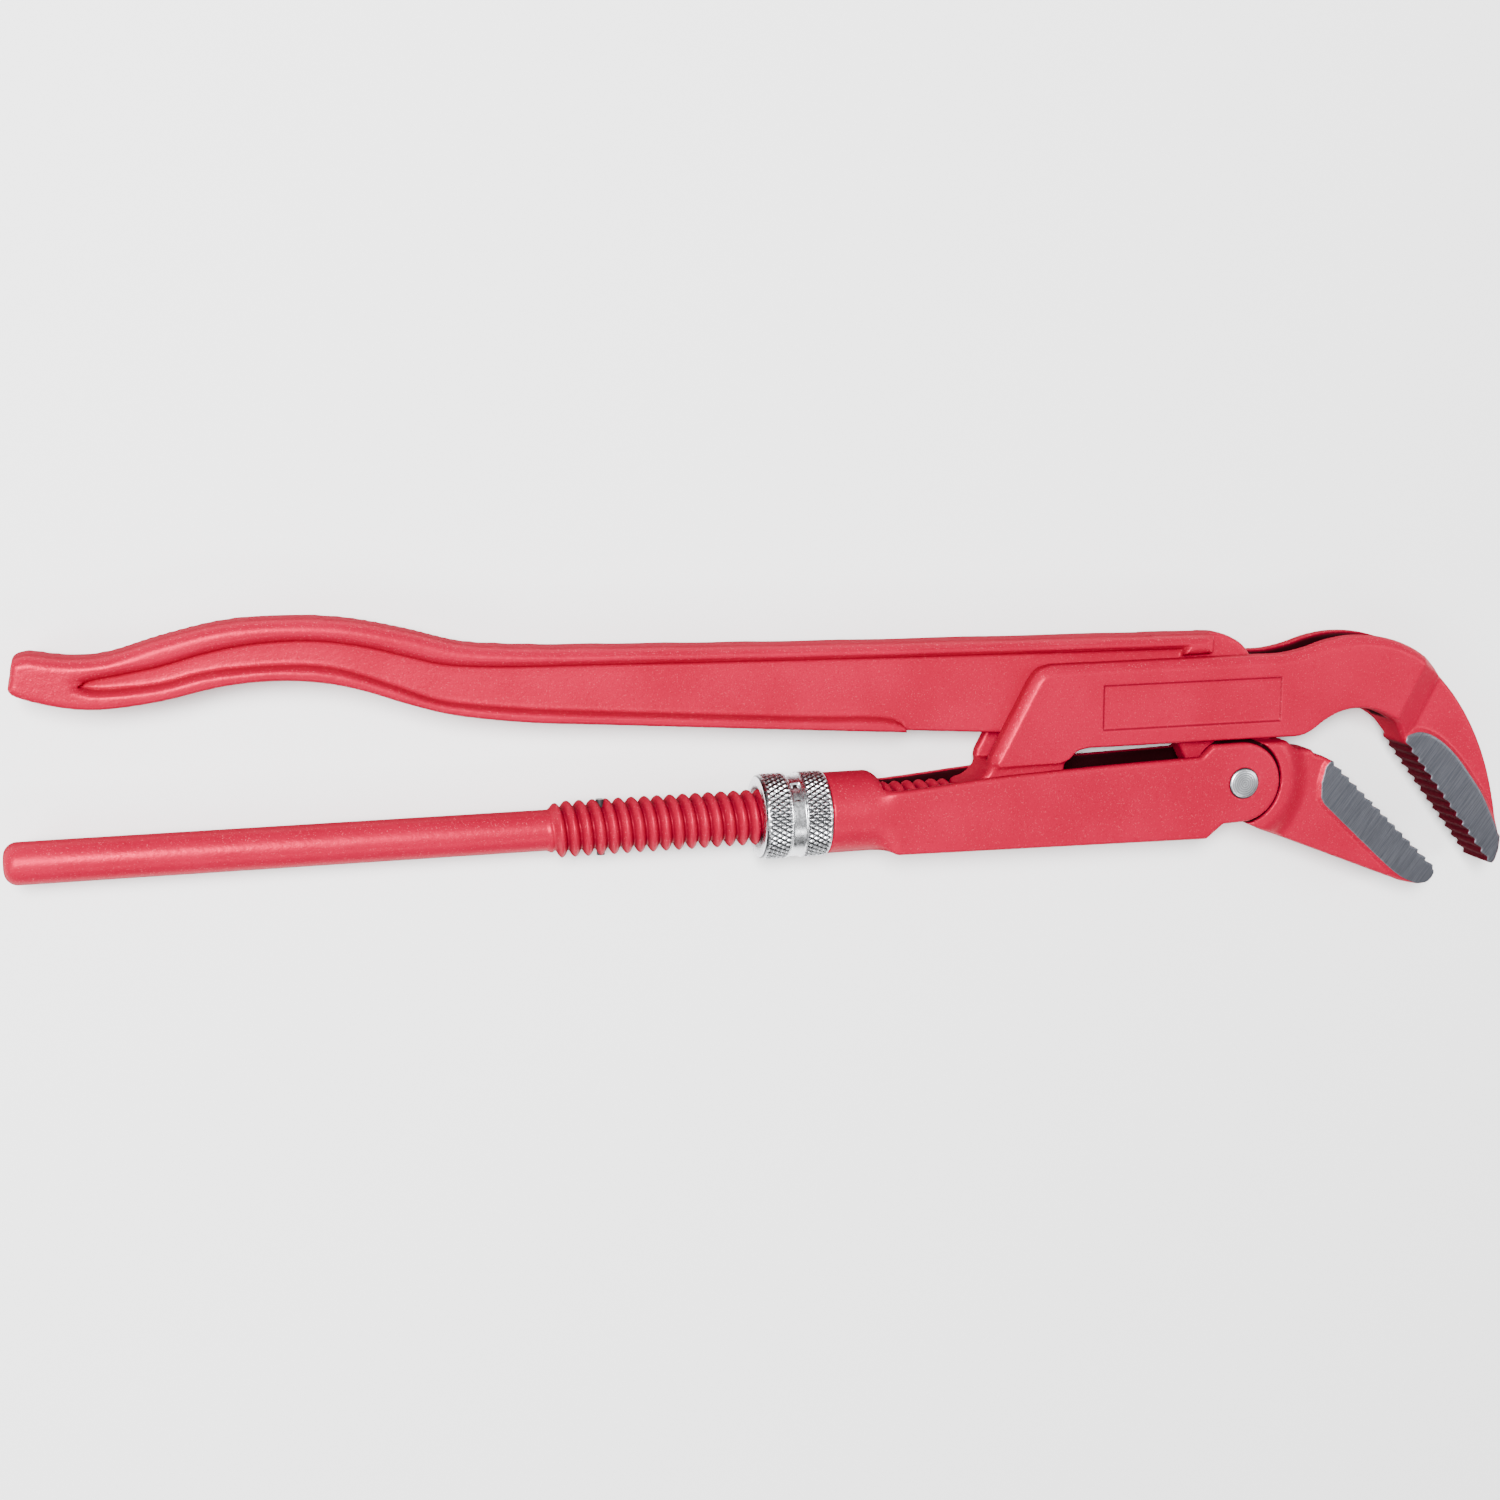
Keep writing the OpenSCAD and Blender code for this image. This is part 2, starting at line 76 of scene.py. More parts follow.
def section(node, z, x_from=-1e3):
    """The CAD node's outline at height z, as segments (n, 2 ends, xy) in millimetres."""
    t = triangles_mm(node)
    t = t[t[:, :, 0].max(1) > x_from]
    s = t[:, :, 2] - z
    t = t[(s.min(1) < 0) & (s.max(1) > 0)]
    s = t[:, :, 2] - z
    points, crosses = [], []
    for a, b in ((0, 1), (1, 2), (2, 0)):
        k = s[:, a] / np.where(s[:, a] == s[:, b], 1, s[:, a] - s[:, b])
        points.append(t[:, a, :2] + k[:, None] * (t[:, b, :2] - t[:, a, :2]))
        crosses.append((s[:, a] < 0) != (s[:, b] < 0))
    points, crosses = np.stack(points, 1), np.stack(crosses, 1)
    order = np.argsort(~crosses, axis=1, kind="stable")[:, :2]
    return np.take_along_axis(points, order[:, :, None], 1)


# ---- sizes the looks share with the frame's part, in millimetres ----

BODY_HALF = 9.2          # hook arm's cheeks
JAW_HALF = 5.2           # both jaws beside their pads
PAD_HALF = 6.2           # over the ground pads
FLANGE_HALF = 7.2        # beam handle's flanges
MILLED_HALF = 7.8        # lever arm under the sleeve's ears
RIM = 1.3                # width of the slope round a pad

SLOT_HALF = 3.9          # slot between the cheeks
SLOT_FLOOR = 12.4
SLOT_END = PIVOT.x + 47.5
CREASE = (PIVOT.x + 48.1, 18.6)              # where the hook folds away from the cheeks
CREASE_TURN = math.radians(-28)              # direction across the fold, towards the jaw's tip
TAPER = 9.0              # length over which the cheeks thin down to the jaw
PAD_START = 7.4          # how far past its line a pad begins
HOOK_TEETH = ((PIVOT.x + 55.4, 9.1), math.radians(-51.8))   # top of the row, and the way it runs
PANEL = (PIVOT.x - 42.3, 20.0, 53.8, 12.6)   # sunk panel: left, low, wide, tall
PANEL_DROP = 0.45

MILLED_R = (12.25, 12.6)                     # round the rivet: where the milled face steps up to the jaw
SHOULDER_R = (14.6, 23.8)                    # and where the shoulder thins down to it
LOWER_PAD_R = 24.0       # where the lower jaw's pad begins
LOWER_PAD_LINE = (PIVOT.x + 16, 0)           # the line that the lower pad begins past
LOWER_TEETH = ((PIVOT.x + 30.6, 6.8), math.radians(-44))

BORE_R = 8.0             # sleeve's bore and half the channel's width
CHANNEL_X = 33.45        # where the channel opens
FORK_X = PIVOT.x - 12.0  # where the fork begins
TUBE = (18.65, 31.05)    # round tube ahead of the nut
TUBE_R, NECK_R = 11.0, 9.9
NECK_X = 7.4             # the neck's end inside the nut
RING_FLOOR_R, RING_HALF = 9.2, 0.8           # the ring's groove in the neck
SLEEVE_FLAT_X = 38.0     # the body has its full outline from here
SLEEVE_HALF = 10.7

NUT_R, NUT_LEN, NUT_BORE_R = 11.6, 18.55, 9.95
RING_X, GROOVE_HALF = 9.35, 1.65
SLOT_ANGLE = math.radians(90 - 46)   # of the ring's slot from +Y towards +Z
RING_SLOT = (2.7, 6.0)   # its length and its width round the nut

PITCH = 3.5
THREAD_START = 1.1       # station of a crest on the side towards the beam handle
THREAD_R, ROOT_R, ROD_R, SHANK_R = 7.5, 5.5, 5.4, 5.9
THREAD_FROM, THREAD_TO = -56.1, 54.6
ROD_END_R = 3.4          # rounding of the handle's free end
SHANK_END = 60.0         # station at which the turned bar ends inside the hook arm
POINT = 0.02             # radius at which a turned end closes

COARSE = 1.0


# ---- solids as distance fields on a grid ----

class Grid:
    """Sample points in millimetres, a little outside the box from lo to hi."""

    def __init__(self, lo, hi, step):
        self.step = step
        self.lo = np.array(lo, float) - 2.37 * step
        count = np.ceil((np.array(hi, float) - self.lo) / step).astype(int) + 3
        x, y, z = (self.lo[i] + step * np.arange(count[i]) for i in range(3))
        self.X, self.Y = np.meshgrid(x, y, indexing="ij")
        self.Z = z[None, None, :].astype(np.float32)
        self.r_axis = np.hypot(self.Y[:, :, None], self.Z).astype(np.float32)

    def x3(self):
        return self.X[:, :, None].astype(np.float32)

    def y3(self):
        return self.Y[:, :, None].astype(np.float32)

    def outline(self, segments):
        """Signed distance in the xy plane to an outline: negative inside."""
        best = np.full(self.X.shape, 1e9)
        inside = np.zeros(self.X.shape, bool)
        for (ax, ay), (bx, by) in segments:
            dx, dy = bx - ax, by - ay
            size = dx * dx + dy * dy
            if size < 1e-12:
                continue
            px, py = self.X - ax, self.Y - ay
            k = np.clip((px * dx + py * dy) / size, 0, 1)
            np.minimum(best, (px - k * dx) ** 2 + (py - k * dy) ** 2, out=best)
            if ay != by:
                inside ^= ((ay > self.Y) != (by > self.Y)) & (px < (self.Y - ay) * dx / dy)
        return np.where(inside, -1, 1) * np.sqrt(best)


def ramp(value, start, end):
    t = np.clip((value - start) / (end - start), 0, 1)
    return t * t * (3 - 2 * t)


def join(a, b, k):
    """Union with a fillet of about k."""
    h = np.clip(0.5 + 0.5 * (b - a) / k, 0, 1)
    return b + (a - b) * h - k * h * (1 - h)


def cut(a, b, k):
    """a without b, the new edges rounded by about k."""
    return -join(-a, b, k)


def plate(g, outline, half, edge_in, edge_z, power=2.0, near_drop=None):
    """An outline with faces at +half and -half. Its edges round over by edge_in in plan and edge_z in height.
    near_drop sinks the upper face."""
    a = ((outline + edge_in) / edge_in)[:, :, None].astype(np.float32)
    top = np.broadcast_to(np.asarray(half, np.float32), g.X.shape)[:, :, None]
    if near_drop is not None:
        top = top - near_drop[:, :, None] * (g.Z > 0)
    edge_z = np.broadcast_to(np.asarray(edge_z, np.float32), g.X.shape)[:, :, None]
    b = (np.abs(g.Z) - top + edge_z) / edge_z
    round_part = (np.maximum(a, 0) ** power + np.maximum(b, 0) ** power) ** (1 / power)
    return (round_part + np.minimum(np.maximum(a, b), 0) - 1) * np.asarray(edge_in, np.float32).min()


def surface(field, g):
    """Vertices and quads of the surface where the field is zero."""
    inside = field < 0
    corners = [(i, j, k) for i in (0, 1) for j in (0, 1) for k in (0, 1)]
    n = [m - 1 for m in field.shape]
    total = np.zeros(n, np.int8)
    for i, j, k in corners:
        total += inside[i:i + n[0], j:j + n[1], k:k + n[2]]
    active = (total > 0) & (total < 8)
    cells = np.argwhere(active)
    ids = np.full(n, -1, np.int32)
    ids[active] = np.arange(len(cells))
    v = np.stack([field[cells[:, 0] + i, cells[:, 1] + j, cells[:, 2] + k] for i, j, k in corners], 1)
    corner = np.array(corners, float)
    spot, hits = np.zeros((len(cells), 3)), np.zeros(len(cells))
    for a in range(8):
        for b in range(a + 1, 8):
            if abs(corner[a] - corner[b]).sum() != 1:
                continue
            m = (v[:, a] < 0) != (v[:, b] < 0)
            k = (v[m, a] / (v[m, a] - v[m, b]))[:, None]
            spot[m] += corner[a] + k * (corner[b] - corner[a])
            hits[m] += 1
    spot /= hits[:, None]
    for _ in range(2):  # move onto the zero surface inside the cell
        w = [1 - spot, spot]
        value, slope = np.zeros(len(cells)), np.zeros((len(cells), 3))
        for c, (i, j, k) in enumerate(corners):
            wx, wy, wz = w[i][:, 0], w[j][:, 1], w[k][:, 2]
            value += v[:, c] * wx * wy * wz
            slope[:, 0] += v[:, c] * (2 * i - 1) * wy * wz
            slope[:, 1] += v[:, c] * (2 * j - 1) * wx * wz
            slope[:, 2] += v[:, c] * (2 * k - 1) * wx * wy
        size = np.maximum((slope ** 2).sum(1), 1e-9)
        spot = np.clip(spot - slope * (value / size)[:, None], 0, 1)
    quads = []
    for axis in range(3):
        turn = (axis, (axis + 1) % 3, (axis + 2) % 3)
        s, d = inside.transpose(turn), ids.transpose(turn)
        before, after = s[:-1, 1:-1, 1:-1], s[1:, 1:-1, 1:-1]
        i, j, k = np.nonzero(before != after)
        q = np.stack([d[i, j, k], d[i, j + 1, k], d[i, j + 1, k + 1], d[i, j, k + 1]], 1)
        outward = before[i, j, k]
        quads.append(np.where(outward[:, None], q, q[:, ::-1]))
    return (cells + spot) * g.step + g.lo, np.concatenate(quads)


def piece(name, verts_mm, faces, body, material, replaced=()):
    mesh = bpy.data.meshes.new(name)
    co = np.array(verts_mm, float) * MM + np.array(ORIGIN)
    faces = np.array(faces, np.int32)
    mesh.vertices.add(len(co))
    mesh.vertices.foreach_set("co", co.astype(np.float32).ravel())
    mesh.loops.add(faces.size)
    mesh.loops.foreach_set("vertex_index", faces.ravel())
    mesh.polygons.add(len(faces))
    mesh.polygons.foreach_set("loop_start", np.arange(0, faces.size, faces.shape[1], dtype=np.int32))
    mesh.update(calc_edges=True)
    mesh.validate()
    mesh.shade_smooth()
    mesh.materials.append(material)
    obj = bpy.data.objects.new(name, mesh)
    bpy.context.scene.collection.objects.link(obj)
    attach(obj, body)
    if replaced:
        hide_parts(*replaced)
    return obj


# ---- materials ----

class Paint:
    """Builds one material's node tree."""

    def __init__(self, name):
        self.material = bpy.data.materials.new(name)
        self.material.use_nodes = True
        self.nodes = self.material.node_tree.nodes
        self.links = self.material.node_tree.links
        self.shader = self.nodes["Principled BSDF"]
        self.place = self.node("ShaderNodeTexCoord").outputs["Object"]

    def node(self, kind, **settings):
        n = self.nodes.new(kind)
        for key, value in settings.items():
            setattr(n, key, value)
        return n

    def put(self, socket, value):
        if isinstance(value, bpy.types.NodeSocket):
            self.links.new(value, socket)
        else:
            socket.default_value = value

    def math(self, operation, a, b=0.0):
        n = self.node("ShaderNodeMath", operation=operation)
        self.put(n.inputs[0], a)
        self.put(n.inputs[1], b)
        return n.outputs[0]

    def step(self, value, low, high, to_low=0.0, to_high=1.0):
        n = self.node("ShaderNodeMapRange", interpolation_type="SMOOTHSTEP")
        for socket, v in zip(n.inputs, (value, low, high, to_low, to_high)):
            self.put(socket, v)
        return n.outputs[0]

    def stretched(self, rotation, scale):
        """Coordinates turned and then stretched."""
        turned = self.node("ShaderNodeMapping")
        self.put(turned.inputs["Vector"], self.place)
        turned.inputs["Rotation"].default_value = rotation
        n = self.node("ShaderNodeMapping")
        self.put(n.inputs["Vector"], turned.outputs[0])
        n.inputs["Scale"].default_value = scale
        return n.outputs[0]

    def noise(self, per_mm, detail=2.0, rough=0.5, vector=None):
        n = self.node("ShaderNodeTexNoise")
        self.put(n.inputs["Vector"], vector or self.place)
        n.inputs["Scale"].default_value = per_mm / MM
        n.inputs["Detail"].default_value = detail
        n.inputs["Roughness"].default_value = rough
        return n.outputs["Fac"]

    def mix(self, factor, a, b):
        n = self.node("ShaderNodeMix", data_type="RGBA")
        self.put(n.inputs[0], factor)
        self.put(n.inputs[6], a)
        self.put(n.inputs[7], b)
        return n.outputs[2]

    def bump(self, height, depth_mm, below=None):
        n = self.node("ShaderNodeBump")
        n.inputs["Strength"].default_value = 1.0
        n.inputs["Distance"].default_value = depth_mm * MM
        self.put(n.inputs["Height"], height)
        if below is not None:
            self.put(n.inputs["Normal"], below)
        return n.outputs[0]

    def times(self, first, *others):
        """The product of two or more values."""
        for other in others:
            first = self.math("MULTIPLY", first, other)
        return first

    def offset(self, name, from_mm=0.0):
        """Metres along X, Y or Z from a station of the drawing frame."""
        n = self.node("ShaderNodeSeparateXYZ")
        self.put(n.inputs[0], self.place)
        return self.math("SUBTRACT", n.outputs[name], getattr(ORIGIN, name.lower()) + from_mm * MM)

    def length(self, a, b):
        """Distance whose two legs are a and b."""
        return self.math("SQRT", self.math("ADD", self.times(a, a), self.times(b, b)))

    def radius(self):
        """Distance from the rod's axis."""
        return self.length(self.offset("Y"), self.offset("Z"))

    def rivet_radius(self):
        """Distance from the rivet's axis."""
        return self.length(self.offset("X", PIVOT.x), self.offset("Y", PIVOT.y))

    def height(self):
        """Distance from the middle plane."""
        return self.math("ABSOLUTE", self.offset("Z"))

    def slope(self):
        """1 where the surface lies level, 0 where it stands upright."""
        n = self.node("ShaderNodeSeparateXYZ")
        self.put(n.inputs[0], self.node("ShaderNodeNewGeometry").outputs["Normal"])
        return self.math("ABSOLUTE", n.outputs["Z"])

    def set(self, **values):
        for key, value in values.items():
            self.put(self.shader.inputs[key.replace("_", " ").title().replace("Ior", "IOR")], value)


def rgb(r, g, b):
    return (r, g, b, 1.0)


RED = rgb(0.335, 0.001, 0.024)
# RED_DEEP serves the darker specks, and the painted shade on upright faces
RED_DEEP = rgb(0.22, 0.001, 0.014)
RED_TOP = rgb(0.36, 0.001, 0.027)
# RED_GLINT is a painted highlight
RED_GLINT = rgb(0.55, 0.05, 0.08)
# MAROON is the painted shade in the thread's grooves and on the hook's teeth
MAROON = rgb(0.045, 0.001, 0.005)
# SHADE is the painted shade in gaps and hollows
SHADE = rgb(0.012, 0.001, 0.002)
STEEL_DARK = rgb(0.075, 0.080, 0.095)
STEEL_LIGHT = rgb(0.135, 0.140, 0.160)
SHEEN = 0.25             # share of metal flake in the coat


def along(p, point, turn):
    """Distance in the xy plane from a point, in millimetres, along a direction."""
    x = p.times(p.offset("X", point[0]), math.cos(turn) / MM)
    y = p.times(p.offset("Y", point[1]), math.sin(turn) / MM)
    return p.math("ADD", x, y)


def red_coat(name="red_coating", pads=None, teeth=None, teeth_color=None, thread=None, dark=None):
    """Powder coat over forged steel.
    pads is a line (point, direction): past it, what stands at pad height is bare. teeth is the row's top, the
    way it runs and the way its mouth faces; the teeth's faces towards the mouth get teeth_color as painted
    shade.
    thread is the stations the thread lies between, whose grooves get painted shade. dark, given the material,
    returns where painted shade darkens the coat in gaps and hollows, from 0 to 1."""
    p = Paint(name)
    cloud = p.noise(0.05, 3.0)
    speck = p.noise(1.6, 2.0, 0.6)
    peel = p.noise(0.55, 3.0, 0.55)
    color = p.mix(p.step(cloud, 0.35, 0.65), RED, RED_TOP)
    color = p.mix(p.step(speck, 0.30, 0.42, 0.35, 0.0), color, RED_DEEP)
    # painted glints: lighter specks of colour stand in for the highlights where the coat's grain catches
    # light, mostly on the slopes
    slope = p.step(p.slope(), 0.97, 0.75, 0.0, 1.0)
    glint = p.times(p.step(p.noise(2.4, 1.0, 0.5), 0.63, 0.70), p.step(slope, 0.0, 1.0, 0.35, 0.8))
    color = p.mix(glint, color, RED_GLINT)
    # painted shade: upright faces are darkened towards RED_DEEP
    color = p.mix(p.step(p.slope(), 0.75, 0.1, 0.0, 0.6), color, RED_DEEP)
    # painted shade in the gaps and hollows that dark picks out
    if dark is not None:
        color = p.mix(dark(p), color, SHADE)
    rough = p.step(p.slope(), 0.15, 0.6, 0.95, p.step(cloud, 0.3, 0.7, 0.34, 0.42))
    normal = p.bump(speck, 0.035, p.bump(peel, 0.10))
    p.set(specular_ior_level=0.13, specular_tint=rgb(1.0, 0.3, 0.38))
    if thread is not None:
        station = p.offset("X")
        within = p.times(p.step(station, thread[0] * MM, (thread[0] + 3) * MM),
                         p.step(station, (thread[1] - 3) * MM, thread[1] * MM, 1.0, 0.0))
        # painted shade in the thread's grooves
        groove = p.step(p.radius(), 5.6 * MM, 6.9 * MM, 0.5, 0.0)
        color = p.mix(p.times(within, groove), color, MAROON)
    if pads is None:
        p.set(base_color=color, roughness=rough, metallic=SHEEN, normal=normal)
        return p.material
    ground = p.times(p.step(p.height(), (PAD_HALF - 0.17) * MM, (PAD_HALF - 0.09) * MM),
                     p.step(along(p, *pads), PAD_START - 0.1, PAD_START + 0.1))
    top, run, mouth = teeth
    # painted shade on the teeth's faces towards the mouth
    teeth_shade = p.times(p.step(along(p, top, mouth), -0.55, -0.25), p.step(along(p, top, run), -4.0, -1.0))
    color = p.mix(teeth_shade, color, teeth_color)
    # grinding lines cross the pads along the jaw
    grind = p.noise(0.10, 3.0, 0.6, p.stretched((0, 0, math.radians(-52)), (1.0, 40.0, 1.0)))
    fine = p.noise(0.25, 2.0, 0.6, p.stretched((0, 0, math.radians(-49)), (1.0, 30.0, 1.0)))
    steel = p.mix(p.step(grind, 0.25, 0.75), STEEL_DARK, STEEL_LIGHT)
    steel_rough = p.step(fine, 0.3, 0.7, 0.34, 0.5)
    steel_normal = p.bump(fine, 0.02, p.bump(grind, 0.03))
    n = p.node("ShaderNodeMix", data_type="VECTOR")
    p.put(n.inputs[0], ground)
    p.put(n.inputs[4], normal)
    p.put(n.inputs[5], steel_normal)
    m = p.node("ShaderNodeMix")
    p.put(m.inputs[0], ground)
    p.put(m.inputs[2], rough)
    p.put(m.inputs[3], steel_rough)
    p.set(base_color=p.mix(ground, color, steel), roughness=m.outputs[0], normal=n.outputs[1])
    p.set(metallic=p.step(ground, 0.0, 1.0, SHEEN, 0.85))
    return p.material


def painted_shade_lever(p):
    """Painted shade in the narrow gap round the ears."""
    r = p.rivet_radius()
    return p.times(p.step(r, 10.6 * MM, 11.0 * MM), p.step(r, 12.3 * MM, 12.6 * MM, 1.0, 0.0))


def painted_shade_sleeve(p):
    """Painted shade on the inside of the bore, the channel and the fork."""
    x, y = p.offset("X"), p.offset("Y")
    between = p.step(p.height(), (BORE_R + 0.05) * MM, (BORE_R + 0.3) * MM, 1.0, 0.0)
    above = p.times(p.step(y, -0.5 * MM, 0.0), p.step(x, CHANNEL_X * MM, (CHANNEL_X + 0.5) * MM))
    ahead = p.step(x, FORK_X * MM, (FORK_X + 0.5) * MM)
    bore = p.step(p.radius(), (BORE_R + 0.1) * MM, (BORE_R + 0.4) * MM, 1.0, 0.0)
    return p.math("MAXIMUM", bore, p.times(between, p.math("MAXIMUM", above, ahead)))


def painted_shade_hook(p):
    """Painted shade in the slot between the cheeks, and a fine line of painted shade in the corner round the
    sunk panel.
    """
    x, y, z = p.offset("X"), p.offset("Y"), p.height()
    slot = p.times(p.step(z, (SLOT_HALF + 0.05) * MM, (SLOT_HALF + 0.5) * MM, 1.0, 0.0),
                   p.step(y, (SLOT_FLOOR - 0.6) * MM, SLOT_FLOOR * MM),
                   p.step(x, SLOT_END * MM, (SLOT_END + 0.8) * MM, 1.0, 0.0),
                   p.step(x, 72 * MM, 80 * MM))
    left, low, wide, tall = PANEL
    beyond = [p.math("SUBTRACT", p.math("ABSOLUTE", p.offset(axis, start + size / 2)), size / 2 * MM)
              for axis, start, size in (("X", left, wide), ("Y", low, tall))]
    off = p.math("ABSOLUTE", p.math("ADD", p.math("MAXIMUM", *beyond), 0.15 * MM))
    line = p.times(p.step(off, 0.1 * MM, 0.4 * MM, 0.5, 0.0), p.step(z, 8.0 * MM, 8.6 * MM))
    return p.math("MAXIMUM", slot, line)


def plated(name, tone, rough, knurled=False):
    """Plated or drawn metal with faint stains."""
    p = Paint(name)
    stain = p.noise(0.12, 4.0, 0.6)
    fine = p.noise(1.2, 3.0, 0.6)
    color = p.mix(p.step(stain, 0.3, 0.7), rgb(*[c * 0.86 for c in tone]), rgb(*tone))
    if knurled:  # the knurl's furrows are darkened, part grime and part painted shade
        r = p.radius()
        furrow = p.times(p.step(r, (NUT_R - 0.5) * MM, (NUT_R - 0.2) * MM, 1.0, 0.0),
                         p.step(r, (NUT_R - 0.8) * MM, (NUT_R - 0.7) * MM),
                         p.step(p.math("ABSOLUTE", p.offset("X", RING_X)),
                                (GROOVE_HALF + 0.5) * MM, (GROOVE_HALF + 0.7) * MM))
        color = p.mix(furrow, color, rgb(0.06, 0.06, 0.065))
    p.set(base_color=color, metallic=1.0, normal=p.bump(fine, 0.02))
    p.set(roughness=p.step(fine, 0.3, 0.7, rough * 0.8, rough * 1.3))
    return p.material


def turned_steel():
    """Steel with the fine circles a header leaves round the rivet's axis."""
    p = Paint("rivet_steel")
    r = p.rivet_radius()
    rings = p.math("SINE", p.times(r, 2 * math.pi / (0.62 * MM)))
    fine = p.noise(1.4, 2.0, 0.5)
    # painted shadow: the head darkens towards its rim
    edge = p.step(r, 3.9 * MM, 4.4 * MM)
    color = p.mix(p.step(rings, -1.0, 1.0), rgb(0.42, 0.43, 0.46), rgb(0.72, 0.74, 0.77))
    p.set(base_color=p.mix(edge, color, rgb(0.10, 0.09, 0.09)), metallic=1.0)
    p.set(roughness=p.step(fine, 0.3, 0.7, 0.30, 0.36), normal=p.bump(rings, 0.012))
    return p.material


def black_oxide():
    """The blackened pin."""
    p = Paint("black_pin")
    fine = p.noise(0.8, 3.0)
    p.set(base_color=p.mix(fine, rgb(0.008, 0.008, 0.009), rgb(0.03, 0.03, 0.032)), metallic=0.3)
    p.set(roughness=p.step(fine, 0.3, 0.7, 0.35, 0.55), normal=p.bump(fine, 0.02))
    return p.material


def hook_arm_field(g):
    lean = np.array([0.3, -0.9])
    body = g.outline(section("hook_arm", 8.0) - 0.5 * lean) - 0.75
    full = g.outline(section("hook_arm", 4.4, 58) - 0.134 * lean)
    u = (g.X - CREASE[0]) * math.cos(CREASE_TURN) + (g.Y - CREASE[1]) * math.sin(CREASE_TURN)
    full = full - 0.2 * (1 - ramp(u, 5, 8))
    to_head = ramp(g.X, 94, 102)
    edge = body * (1 - to_head) + full * to_head
    half = BODY_HALF - (BODY_HALF - JAW_HALF) * np.clip(u / TAPER, 0, 1)
    pad = np.maximum(g.outline(section("hook_arm", 6.0, 58)), PAD_START - u)
    half = np.where(u > PAD_START - 0.4, np.maximum(half, PAD_HALF - np.clip(pad, 0, RIM) / RIM), half)
    slope = np.stack(np.gradient(edge, g.step))
    slope = slope / np.maximum(np.hypot(*slope), 1e-6)
    edge_in = np.clip(1.6 - 0.4 * slope[0] + 1.0 * slope[1], 0.6, 2.7)
    edge_in = edge_in * (1 - ramp(u, 2, 8)) + 0.9 * ramp(u, 2, 8)
    left, low, wide, tall = PANEL
    panel = np.maximum.reduce([left - g.X, g.X - left - wide, low - g.Y, g.Y - low - tall])
    drop = (PANEL_DROP * ramp(-panel, -0.05, 0.3)).astype(np.float32)
    f = plate(g, edge, half, edge_in, 2.0, 1.25, drop)
    # the pad's crisp block, teeth and all
    block = np.maximum(full, pad)[:, :, None]
    f = np.minimum(f, np.maximum(block, np.abs(g.Z) - PAD_HALF))
    # bridge between the cheeks and the rod
    web = np.maximum(g.outline(section("hook_arm", 7.15)), g.X - 92)
    bridge = plate(g, web, 7.3, 1.6, 1.6)
    neck = 7.3 - 1.4 * np.clip((61.0 - g.x3()) / 4, 0, 1)
    bar = np.maximum(g.r_axis - neck, np.maximum(57.0 - g.x3(), g.x3() - 85))
    f = join(f, bridge, 1.6)
    f = join(f, bar, 0.8)
    slot = np.maximum(SLOT_FLOOR - g.Y, g.X - SLOT_END)[:, :, None]
    f = cut(f, np.maximum(slot, np.abs(g.Z) - SLOT_HALF), 0.5)
    return f.astype(np.float32)


def lever_field(g):
    web = g.outline(section("lever_arm", 0.4))
    wide = g.outline(section("lever_arm", 5.0))
    head = (g.X > 100) & (g.Y < 27)
    far = np.maximum(wide, 5)
    flange = np.where(head, far, wide) - 0.21
    jaw = np.where(head, wide, far) - 0.12
    r = np.hypot(g.X - PIVOT.x, g.Y - PIVOT.y)
    half = MILLED_HALF + (BODY_HALF - MILLED_HALF) * ramp(r, *MILLED_R)
    half = half - (BODY_HALF - JAW_HALF) * ramp(r, *SHOULDER_R)
    pad = np.maximum(g.outline(section("lever_arm", 5.7)), LOWER_PAD_R - r)
    half = np.where(r > LOWER_PAD_R - 0.3, np.maximum(half, PAD_HALF - np.clip(pad, 0, RIM) / RIM), half)
    # the top flange is well rounded outside and slopes inside, the bottom flange is crisper
    rise = np.gradient(flange, g.step, axis=1)
    upper = ramp(np.gradient(web, g.step, axis=1), -0.2, 0.2)
    outer = 1 - ramp(np.abs(web - flange), 0.5, 2.0)
    top_edge, top_inner = upper * outer * ramp(rise, 0.0, 0.5), upper * (1 - outer) * ramp(-rise, 0.0, 0.5)
    low_inner = (1 - upper) * (1 - outer) * ramp(rise, 0.0, 0.5)
    edge_in = 0.9 + 1.9 * top_edge + 1.5 * top_inner + 0.7 * low_inner
    edge_z = 1.1 + 2.2 * top_edge + 2.4 * top_inner + 2.2 * low_inner
    f = join(plate(g, web, 3.5, 0.9, 1.2), plate(g, flange, FLANGE_HALF, edge_in, edge_z, 1.7), 0.7)
    f = join(f, plate(g, jaw, half, 0.9, 1.3), 1.0)
    f = np.minimum(f, np.maximum(np.maximum(jaw, pad)[:, :, None], np.abs(g.Z) - PAD_HALF))
    return np.maximum(f, web[:, :, None]).astype(np.float32)


